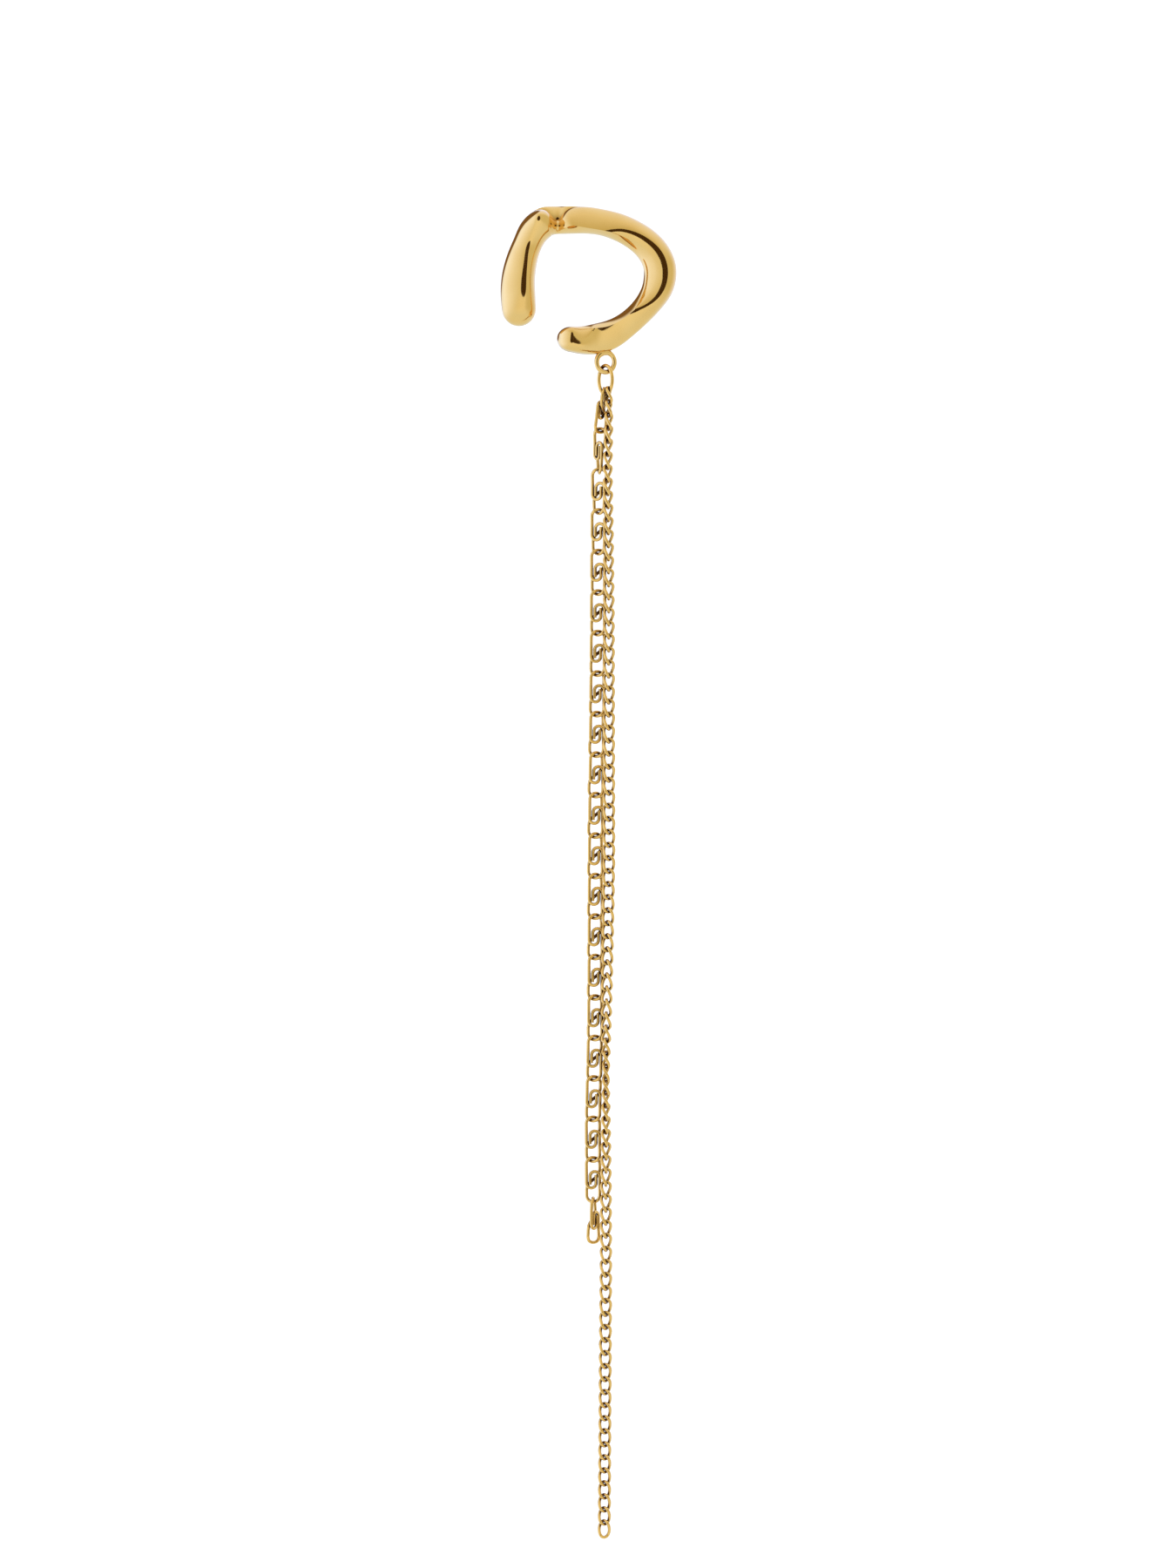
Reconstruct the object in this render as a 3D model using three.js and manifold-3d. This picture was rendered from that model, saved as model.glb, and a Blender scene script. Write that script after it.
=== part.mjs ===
// An ear cuff of gold-plated brass. One cast piece grips the rim of the ear: a fat lobe at the
// left, a thin neck, a domed band that runs over the crown and round the far side, and a foot
// that ends in a round tip. A small eye is soldered under the foot. An oval link hangs in the
// eye, and two chains of unequal length hang in the oval link.
//
// Millimetres, +Z up, seen from -Y. The origin is the middle of the crown's inner face, where
// the rim of the ear bears.

import * as THREE from 'three';
import { mergeVertices } from 'three/addons/utils/BufferGeometryUtils.js';
import Module from 'manifold-3d';

// Cast body: the size of its centre line, and the metal at its fullest. lobeLean is how fast the
// lobe's end goes back, and ledgeDepth is how far back the ledge behind the neck lies, as a
// share of the section's reach to the rear.
const loopWidth = 16.4;
const loopHeight = 13.75;
const metalWidth = 3.8;
const metalDepth = 3.6;
const lobeCap = 2.0;
const tipCap = 1.75;
const lobeLean = 0.18;
const ledgeDepth = 0.6;

// Eye soldered under the foot, turned a little out of the plane of the body
const eyeWire = 0.56;
const eyeWidth = 2.65;
const eyeHeight = 2.85;
const eyeAcross = 0.616;
const eyeTurn = 15;
const solderDepth = 0.3;

// Oval link through the eye, turned so that its left side lies behind
const ovalWire = 0.42;
const ovalWidth = 2.3;
const ovalHeight = 3.7;
const ovalTurn = -36;

// Clearance between wires that hook into each other: loose where a chain or the oval link
// hangs, close from link to link
const hangPlay = 0.27;
const linkPlay = 0.08;

// Scroll chain: long links of one wire, hooked flat over themselves in the middle
const scrollLinks = 21;
const scrollPitch = 4.65;
const scrollWidth = 1.9;
const scrollWire = 0.38;
const hookWidth = 1.48;
const hookHeight = 2.26;
const layerGap = 0.04;
const eyeSpread = 0.05;

// Curb chain, as the round bulk that its twisted links fill
const curbLinks = 88;
const curbPitch = 1.495;
const curbBulk = 1.1;

// How finely the surfaces are divided
const spanSteps = 2;
const capSteps = 4;
const domeSides = 8;
const heelSides = 4;
const backSides = 5;
const wireSides = 6;
const roundSides = 14;
const ovalSides = 18;
const bulkSides = 8;
const bulkSteps = 40;

// Sections of the cast body, from the end of the lobe over the crown to the tip of the foot.
// across and up place the centre line, as shares of loopWidth and loopHeight, from the line of
// the lobe and the line of the foot. wide is a share of metalWidth. set is how far the section
// is set back, as a share of metalDepth, and front and rear are its reach, as shares of half of
// that depth. peak and crease go from -1 on the inner edge to 1 on the outer edge: peak is the
// middle of the dome, and crease is where the dome meets the inner face. heel is how square
// that inner face is. brow is the dome's outer edge: below 1, the rear stands up behind it.
// round is 1 where the dome is an ellipse, and less where its top is flatter.
const COLUMNS = [
  'across', 'up', 'wide', 'set', 'front', 'rear', 'peak', 'crease', 'heel', 'brow', 'round',
];
const SECTIONS = {
  lobeEnd: [0.009, 0.258, 1.03, 0.00, 0.95, 1.02, -0.25, -0.80, 0.58, 1.00, 1.00],
  lobeLow: [0.002, 0.382, 1.05, 0.00, 1.12, 1.08, -0.43, -0.80, 0.61, 1.00, 1.00],
  lobeMiddle: [0.005, 0.520, 1.01, 0.00, 1.16, 1.11, -0.46, -0.80, 0.61, 1.00, 1.00],
  lobeHigh: [0.029, 0.665, 0.94, 0.00, 1.13, 1.06, -0.36, -0.80, 0.59, 1.00, 1.00],
  shoulder: [0.067, 0.793, 0.88, 0.00, 1.11, 1.00, -0.12, -0.80, 0.56, 1.00, 1.00],
  corner: [0.116, 0.907, 0.93, 0.00, 1.31, 0.94, 0.05, -0.80, 0.55, 1.00, 1.00],
  turn: [0.183, 0.975, 0.92, 0.00, 1.50, 0.94, 0.52, -0.75, 0.55, 0.97, 1.00],
  head: [0.229, 0.993, 0.88, 0.03, 1.12, 0.90, 0.05, -0.72, 0.58, 0.60, 1.00],
  neck: [0.277, 0.999, 0.85, 0.06, 0.50, 0.86, -0.42, -0.68, 0.55, -0.05, 1.00],
  nose: [0.326, 0.998, 0.84, 0.04, 0.84, 0.90, -0.48, -0.64, 0.50, 0.60, 1.00],
  bandStart: [0.384, 0.998, 0.83, 0.01, 0.98, 0.96, -0.70, -0.47, 0.50, 0.92, 1.00],
  crownLeft: [0.486, 0.996, 0.81, 0.00, 1.00, 1.00, -1.40, -0.62, 0.35, 1.00, 1.00],
  crown: [0.596, 0.977, 0.79, 0.00, 1.00, 1.00, -1.10, -0.66, 0.35, 1.00, 1.00],
  crownRight: [0.703, 0.940, 0.83, 0.00, 1.00, 1.00, -0.35, -0.55, 0.40, 1.00, 1.00],
  bendHigh: [0.800, 0.885, 0.86, 0.00, 1.00, 1.00, 0.05, -0.45, 0.45, 1.00, 1.00],
  bendUpper: [0.893, 0.807, 0.91, 0.00, 1.00, 1.00, 0.25, -0.35, 0.50, 1.00, 1.00],
  sideHigh: [0.963, 0.706, 0.96, 0.00, 1.00, 1.00, 0.40, -0.28, 0.55, 1.00, 1.00],
  side: [0.998, 0.585, 0.99, 0.00, 1.00, 1.00, 0.43, -0.26, 0.60, 1.00, 1.00],
  sideLow: [0.985, 0.447, 0.95, 0.00, 1.00, 1.00, 0.42, -0.28, 0.60, 1.00, 1.00],
  bendLower: [0.931, 0.327, 0.82, 0.00, 0.97, 1.00, 0.25, -0.35, 0.50, 1.00, 1.00],
  bendLow: [0.853, 0.217, 0.75, 0.00, 0.92, 1.00, -0.40, -0.45, 0.40, 1.00, 1.00],
  footHigh: [0.757, 0.118, 0.77, 0.00, 0.88, 1.00, -1.20, -0.50, 0.35, 1.00, 1.00],
  footRight: [0.657, 0.044, 0.88, 0.00, 0.85, 1.00, -1.20, -0.55, 0.35, 1.00, 1.00],
  foot: [0.559, 0.007, 0.93, 0.00, 0.86, 1.00, -0.85, -0.66, 0.45, 1.00, 1.00],
  footLeft: [0.464, -0.005, 0.86, 0.00, 1.02, 1.00, 0.25, -0.72, 0.60, 1.00, 0.80],
  tip: [0.382, 0.002, 0.78, 0.00, 1.12, 0.97, -0.25, -0.80, 0.82, 1.00, 0.55],
};

// Where each chain hangs: down as a share of the chain's length, and to the right and back from
// the lowest point of the oval link
const scrollRoute = [
  { down: 0.00, right: -0.16, back: 0.12 },
  { down: 0.05, right: -0.64, back: 0.48 },
  { down: 0.10, right: -0.70, back: 0.50 },
  { down: 0.19, right: -0.80, back: 0.50 },
  { down: 0.33, right: -0.92, back: 0.50 },
  { down: 0.50, right: -1.15, back: 0.50 },
  { down: 0.76, right: -1.21, back: 0.50 },
  { down: 0.86, right: -1.45, back: 0.50 },
  { down: 1.00, right: -1.40, back: 0.50 },
];
const curbRoute = [
  { down: 0.00, right: 0.45, back: -0.47 },
  { down: 0.03, right: 0.32, back: -0.82 },
  { down: 0.07, right: 0.24, back: -0.85 },
  { down: 0.12, right: 0.32, back: -0.75 },
  { down: 0.19, right: 0.38, back: -0.64 },
  { down: 0.41, right: 0.38, back: -0.58 },
  { down: 0.57, right: 0.04, back: -0.50 },
  { down: 0.76, right: 0.04, back: -0.50 },
  { down: 1.00, right: -0.16, back: -0.50 },
];

// How the scroll links are turned about the vertical, link by link, in degrees: the right side
// goes back as the number grows
const scrollTurn = [
  { link: 1, turn: -119 },
  { link: 2, turn: -58 },
  { link: 3, turn: -27 },
  { link: 5, turn: -10 },
  { link: 7, turn: 0 },
  { link: 10, turn: 14 },
  { link: 15, turn: 10 },
  { link: 17, turn: 0 },
  { link: 20, turn: -2 },
  { link: 21, turn: 58 },
];

const wasm = await Module();
wasm.setup();

const gold = { color: 0xe3bc62, roughness: 0.12, metalness: 1 };
const polished = new THREE.MeshStandardMaterial({ ...gold });
const drawnWire = new THREE.MeshStandardMaterial({ ...gold, roughness: 0.18 });

function degrees(angle) {
  return angle * Math.PI / 180;
}

// One column of a table, read between the two rows whose key column lies round a place
function readTable(rows, column, key, place) {
  let i = 0;
  while (i < rows.length - 2 && rows[i + 1][key] < place) i += 1;
  const [from, to] = [rows[i], rows[i + 1]];
  const share = Math.min(Math.max((place - from[key]) / (to[key] - from[key]), 0), 1);
  return from[column] + (to[column] - from[column]) * share;
}

// Skins rings of equal length with quads, each cut in two triangles. The ends are closed with
// a fan, or the last ring joins the first.
function skin(rings, closed) {
  const sides = rings[0].length;
  const positions = rings.flat().flatMap((p) => [p.x, p.y, p.z]);
  const index = [];
  const spans = closed ? rings.length : rings.length - 1;
  for (let i = 0; i < spans; i += 1) {
    const next = (i + 1) % rings.length;
    for (let j = 0; j < sides; j += 1) {
      const k = (j + 1) % sides;
      const [a, b] = [i * sides + j, i * sides + k];
      const [c, d] = [next * sides + k, next * sides + j];
      index.push(a, b, c, a, c, d);
    }
  }
  if (!closed) {
    for (const [ring, flip] of [[0, true], [rings.length - 1, false]]) {
      const middle = new THREE.Vector3();
      rings[ring].forEach((p) => middle.addScaledVector(p, 1 / sides));
      const centre = positions.length / 3;
      positions.push(middle.x, middle.y, middle.z);
      for (let j = 0; j < sides; j += 1) {
        const [a, b] = [ring * sides + j, ring * sides + (j + 1) % sides];
        index.push(...(flip ? [centre, b, a] : [centre, a, b]));
      }
    }
  }
  const geometry = new THREE.BufferGeometry();
  geometry.setAttribute('position', new THREE.Float32BufferAttribute(positions, 3));
  geometry.setIndex(index);
  return geometry;
}

function catmullRom(a, b, c, d, t) {
  const bend = 2 * a - 5 * b + 4 * c - d + t * (3 * (b - c) + d - a);
  return b + 0.5 * t * (c - a + t * bend);
}

// The rows of SECTIONS with rows worked out between them
function bodyRows() {
  const rows = Object.values(SECTIONS);
  const last = rows.length - 1;
  const fine = [];
  for (let i = 0; i < last; i += 1) {
    const around = [rows[Math.max(i - 1, 0)], rows[i], rows[i + 1], rows[Math.min(i + 2, last)]];
    for (let step = 0; step < spanSteps; step += 1) {
      fine.push(COLUMNS.map((_, n) => catmullRom(...around.map((row) => row[n]), step / spanSteps)));
    }
  }
  fine.push(rows[last]);
  return fine.map((row) => Object.fromEntries(COLUMNS.map((name, n) => [name, row[n]])));
}

// The outer half of the back, s of the way from its middle to the dome's edge. Behind a brow it
// ends in a rounded ledge, which takes its share of the way.
function outerBack(s, brow) {
  const ledge = (1 - brow) * ledgeDepth;
  const share = (1 - brow) / (2 - brow);
  if (s < 1 - share) {
    const angle = degrees(90 * s / (1 - share));
    return [Math.sin(angle), -ledge - (1 - ledge) * Math.cos(angle)];
  }
  const angle = degrees(90 * (1 - s) / share);
  return [brow + (1 - brow) * Math.sin(angle), -ledge * (1 - Math.cos(angle))];
}

// One section as points [u, v]: u goes from -1 inside to 1 outside, v from -1 behind to 1 in
// front. The dome is two quarters of an ellipse that meet at the peak, the inner face is a
// soft curve from the crease, and the back is a half ellipse up to the brow.
function sectionPoints({ peak, crease, heel, brow, round }) {
  const reach = (side) => (side >= 0 ? brow - peak : 1 + peak);
  const flatten = (value) => Math.sign(value) * Math.abs(value) ** round;
  const creaseShare = (crease - peak) / reach(crease - peak);
  const creaseAngle = Math.acos(Math.sign(creaseShare) * Math.abs(creaseShare) ** (1 / round));
  const creaseHeight = flatten(Math.sin(creaseAngle));
  const points = [];
  for (let k = 0; k < domeSides; k += 1) {
    const angle = creaseAngle * k / domeSides;
    points.push([
      peak + reach(Math.cos(angle)) * flatten(Math.cos(angle)),
      flatten(Math.sin(angle)),
    ]);
  }
  for (let k = 0; k < heelSides; k += 1) {
    const t = k / heelSides;
    const u = (1 - t) ** 2 * crease - 2 * t * (1 - t) - t ** 2;
    points.push([u, creaseHeight * ((1 - t) ** 2 + 2 * t * (1 - t) * heel)]);
  }
  for (let k = 0; k < backSides; k += 1) {
    const angle = degrees(90 * k / backSides);
    points.push([-Math.cos(angle), -Math.sin(angle)]);
  }
  for (let k = 0; k < backSides; k += 1) points.push(outerBack(k / backSides, brow));
  return points;
}

// Centre line of the body: for each row its place, the way along and the way outwards
function bodyLine(rows) {
  const places = rows.map((row) => new THREE.Vector2(row.across * loopWidth, row.up * loopHeight));
  return rows.map((row, i) => {
    const before = places[Math.max(i - 1, 0)];
    const after = places[Math.min(i + 1, places.length - 1)];
    const along = after.clone().sub(before).normalize();
    return { row, place: places[i], along, outward: new THREE.Vector2(-along.y, along.x) };
  });
}

function bodyRing({ row, place, along, outward }, shift, size, lean) {
  const half = metalWidth * row.wide / 2;
  const depth = metalDepth / 2;
  const back = row.set * metalDepth + lean * Math.abs(shift);
  return sectionPoints(row).map(([u, v]) => {
    const reach = depth * (v >= 0 ? row.front : row.rear);
    const spot = place.clone().addScaledVector(along, shift).addScaledVector(outward, u * half * size);
    return new THREE.Vector3(spot.x, back - v * reach * size, spot.y);
  });
}

// The rings of a round end, from the small one at the pole to the last before the full section.
// lean is how fast the end goes back.
function capRings(station, length, lean) {
  const rings = [];
  for (let k = capSteps; k > 0; k -= 1) {
    const angle = degrees(90 * k / (capSteps + 1));
    rings.push(bodyRing(station, length * Math.sin(angle), Math.cos(angle), lean));
  }
  return rings;
}

function castBody(line) {
  const rings = [
    ...capRings(line[0], -lobeCap, lobeLean),
    ...line.map((station) => bodyRing(station, 0, 1, 0)),
    ...capRings(line.at(-1), tipCap, 0).reverse(),
  ];
  return skin(rings, false);
}

// The inner face of the crown, which is the origin
function seatPoint(line) {
  const { row, place, outward } = line.find((station) => station.row.up === SECTIONS.crown[1]);
  const spot = place.clone().addScaledVector(outward, -metalWidth * row.wide / 2);
  return new THREE.Vector3(spot.x, row.set * metalDepth, spot.y);
}

// The body's underside at one place across: the lowest edge of the sections of the foot
function undersideAt(line, x) {
  const edge = line.map(({ row, place, outward }) => (
    place.clone().addScaledVector(outward, metalWidth * row.wide / 2)));
  let lowest = Infinity;
  for (let i = 1; i < edge.length; i += 1) {
    const [from, to] = [edge[i - 1], edge[i]];
    const share = (x - from.x) / (to.x - from.x);
    if (share >= 0 && share <= 1) lowest = Math.min(lowest, from.y + (to.y - from.y) * share);
  }
  return lowest;
}

// A round wire along a line of points that never runs along Y
function wire(points, diameter, closed) {
  const count = points.length;
  const rings = points.map((point, i) => {
    const before = closed ? points[(i + count - 1) % count] : points[Math.max(i - 1, 0)];
    const after = closed ? points[(i + 1) % count] : points[Math.min(i + 1, count - 1)];
    const along = after.clone().sub(before).normalize();
    const side = new THREE.Vector3(0, 1, 0).cross(along).normalize();
    const up = along.clone().cross(side);
    const ring = [];
    for (let k = 0; k < wireSides; k += 1) {
      const angle = degrees(360 * (k + 0.5) / wireSides);
      const offset = side.clone().multiplyScalar(Math.cos(angle)).addScaledVector(up, Math.sin(angle));
      ring.push(point.clone().addScaledVector(offset, diameter / 2));
    }
    return ring;
  });
  return skin(rings, closed);
}

// Points on an arc in the plane of X and Z, from one angle to another
function arc(x, z, radius, from, to, steps) {
  const points = [];
  for (let k = 0; k <= steps; k += 1) {
    const angle = degrees(from + (to - from) * k / steps);
    points.push(new THREE.Vector3(x + radius * Math.cos(angle), 0, z + radius * Math.sin(angle)));
  }
  return points;
}

// A closed oval of wire, an ellipse that stands in the plane of X and Z
function ovalWireLoop(width, height, diameter) {
  const [across, up] = [(width - diameter) / 2, (height - diameter) / 2];
  const points = [];
  for (let k = 0; k < ovalSides; k += 1) {
    const angle = degrees(360 * (k + 0.5) / ovalSides);
    points.push(new THREE.Vector3(across * Math.cos(angle), 0, up * Math.sin(angle)));
  }
  return wire(points, diameter, true);
}

// Half of a scroll link's wire, from its free end to the middle of the diagonal behind. It
// goes down the centre, hooks up the left side, makes the upper eye, and comes down the right
// side behind the other half's hook.
function scrollHalf() {
  const half = (scrollWidth - scrollWire) / 2;
  const hookRadius = (hookWidth - scrollWire) / 2;
  const strand = 2 * hookRadius - half;
  const layer = (scrollWire + layerGap) / 2;
  const hookReach = (hookHeight - scrollWire) / 2;
  const hookZ = hookReach - hookRadius;
  const eyeZ = scrollReach() - half;
  const freeEnd = hookReach - scrollWire;
  const front = [
    new THREE.Vector3(strand, 0, freeEnd),
    ...arc((strand - half) / 2, -hookZ, hookRadius, 0, -180, roundSides / 2),
    new THREE.Vector3(-half, 0, eyeZ * 0.5),
  ];
  const eye = arc(0, eyeZ, half, 180, 0, roundSides / 2);
  const behind = [
    new THREE.Vector3(half, 0, hookReach + scrollWire / 2),
    new THREE.Vector3(half * 0.86, 0, hookReach * 0.68),
    new THREE.Vector3(half * 0.5, 0, hookReach * 0.34),
  ];
  front.forEach((point) => point.setY(-layer));
  behind.forEach((point) => point.setY(layer));
  const spread = layer + eyeSpread;
  eye.forEach((point) => point.setY(spread * Math.min(Math.max(point.x / (half * 0.62), -1), 1)));
  return [...front, ...eye, ...behind];
}

// From the middle of a scroll link to the centre of the wire at the top of its eye
function scrollReach() {
  return (scrollPitch + scrollWire + linkPlay) / 2;
}

function scrollLink() {
  const half = scrollHalf();
  const other = half.map((point) => new THREE.Vector3(-point.x, point.y, -point.z)).reverse();
  return wire([...half, ...other], scrollWire, false);
}

// The curb chain's bulk: a round bar along its route
function curbBulkBar(top, length) {
  const route = curbRoute.map(({ right, back, down }) => (
    new THREE.Vector3(right, back, top - down * length)));
  const section = new THREE.Shape();
  for (let k = 0; k < bulkSides; k += 1) {
    const angle = degrees(360 * k / bulkSides);
    const spot = [curbBulk / 2 * Math.cos(angle), curbBulk / 2 * Math.sin(angle)];
    if (k === 0) section.moveTo(...spot);
    else section.lineTo(...spot);
  }
  section.closePath();
  return new THREE.ExtrudeGeometry(section, {
    steps: bulkSteps,
    bevelEnabled: false,
    extrudePath: new THREE.CatmullRomCurve3(route),
  });
}

// Shared corners only, as a solid needs them
function weld(geometry) {
  const bare = geometry.clone();
  bare.deleteAttribute('normal');
  bare.deleteAttribute('uv');
  return mergeVertices(bare, 1e-5);
}

function toSolid(geometry) {
  const merged = weld(geometry);
  return new wasm.Manifold(new wasm.Mesh({
    numProp: 3,
    vertProperties: merged.getAttribute('position').array,
    triVerts: Uint32Array.from(merged.getIndex().array),
  }));
}

function fromSolid(solid) {
  const mesh = solid.getMesh();
  const geometry = new THREE.BufferGeometry();
  geometry.setAttribute('position', new THREE.Float32BufferAttribute(mesh.vertProperties, 3));
  geometry.setIndex(Array.from(mesh.triVerts));
  return geometry;
}

function namedMesh(name, geometry, material) {
  geometry.computeVertexNormals();
  const mesh = new THREE.Mesh(geometry, material);
  mesh.name = name;
  return mesh;
}

// The cast body with the eye soldered on
function cuff(line, eyePlace) {
  const eye = ovalWireLoop(eyeWidth, eyeHeight, eyeWire);
  eye.rotateZ(degrees(eyeTurn));
  eye.translate(eyePlace.x, eyePlace.y, eyePlace.z);
  return fromSolid(toSolid(castBody(line)).add(toSolid(eye)));
}

function earCuff() {
  const part = new THREE.Group();
  const line = bodyLine(bodyRows());
  const eyeX = eyeAcross * loopWidth;
  const eyeTop = undersideAt(line, eyeX) + solderDepth;
  const eyePlace = new THREE.Vector3(eyeX, 0, eyeTop - eyeHeight / 2);
  part.add(namedMesh('cuff', cuff(line, eyePlace), polished));

  const eyeFloor = eyeTop - eyeHeight + eyeWire;
  const ovalTop = eyeFloor + hangPlay + ovalWire;
  const oval = namedMesh('oval_link', ovalWireLoop(ovalWidth, ovalHeight, ovalWire), drawnWire);
  oval.position.set(eyeX, 0, ovalTop - ovalHeight / 2);
  oval.rotation.z = degrees(ovalTurn);
  part.add(oval);

  const ovalFloor = ovalTop - ovalHeight + ovalWire;
  const chains = new THREE.Group();
  chains.position.set(eyeX, 0, ovalFloor);
  part.add(chains);
  hangScrollChain(chains);
  hangCurbChain(chains);

  part.position.copy(seatPoint(line)).negate();
  return part;
}

// How far above the oval link's lowest inner point its wire lies, at a place beside the middle
function ovalRise(right, back) {
  const [across, up] = [(ovalWidth - ovalWire) / 2, (ovalHeight - ovalWire) / 2];
  return up * (1 - Math.sqrt(1 - (right ** 2 + back ** 2) / across ** 2));
}

// Each link hangs from one point of the route to the next, and is turned about that line
function hangScrollChain(chains) {
  const { right, back } = scrollRoute[0];
  const top = ovalRise(right, back) + hangPlay + (scrollWire + scrollPitch) / 2 - scrollReach();
  const vertical = new THREE.Vector3(0, 0, 1);
  const joint = (n) => new THREE.Vector3(
    readTable(scrollRoute, 'right', 'down', n / scrollLinks),
    readTable(scrollRoute, 'back', 'down', n / scrollLinks),
    top - n * scrollPitch,
  );
  for (let n = 1; n <= scrollLinks; n += 1) {
    const [from, to] = [joint(n - 1), joint(n)];
    const name = `scroll_link_${String(n).padStart(2, '0')}`;
    const link = namedMesh(name, scrollLink(), drawnWire);
    link.position.addVectors(from, to).multiplyScalar(0.5);
    link.quaternion.setFromUnitVectors(vertical, from.sub(to).normalize());
    link.rotateZ(degrees(readTable(scrollTurn, 'turn', 'link', n)));
    chains.add(link);
  }
}

function hangCurbChain(chains) {
  const top = -ovalWire - hangPlay;
  const bar = weld(curbBulkBar(top, curbLinks * curbPitch));
  chains.add(namedMesh('curb_chain', bar, drawnWire));
}

export default earCuff();
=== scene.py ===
import math

import bmesh
import bpy
from mathutils import Euler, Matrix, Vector


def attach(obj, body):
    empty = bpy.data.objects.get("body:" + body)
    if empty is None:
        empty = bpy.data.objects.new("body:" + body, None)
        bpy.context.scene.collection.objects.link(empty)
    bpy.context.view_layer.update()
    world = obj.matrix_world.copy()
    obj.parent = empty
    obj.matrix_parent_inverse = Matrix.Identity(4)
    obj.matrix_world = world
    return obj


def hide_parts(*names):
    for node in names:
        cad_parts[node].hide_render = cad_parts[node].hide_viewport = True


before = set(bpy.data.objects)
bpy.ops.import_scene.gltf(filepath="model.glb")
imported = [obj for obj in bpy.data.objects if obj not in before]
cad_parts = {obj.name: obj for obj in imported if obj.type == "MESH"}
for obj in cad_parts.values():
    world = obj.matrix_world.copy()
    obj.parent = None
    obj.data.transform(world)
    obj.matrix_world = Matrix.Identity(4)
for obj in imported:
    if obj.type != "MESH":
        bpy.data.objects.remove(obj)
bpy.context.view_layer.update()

MM = 0.001


# The cast cuff: one piece of brass, cast in wax, filed, and polished on a soft wheel before it
# was plated. A fat lobe and a round tip leave a mouth for the ear, a domed band joins them, and
# the valley of the neck is where the lobe's stem meets the band.
LOOP_WIDTH = 16.4
LOOP_HEIGHT = 13.75
METAL_WIDTH = 3.8
METAL_DEPTH = 3.6
LOBE_CAP = 2.0
TIP_CAP = 1.75
LOBE_LEAN = 0.18
LEDGE_DEPTH = 0.6

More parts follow.
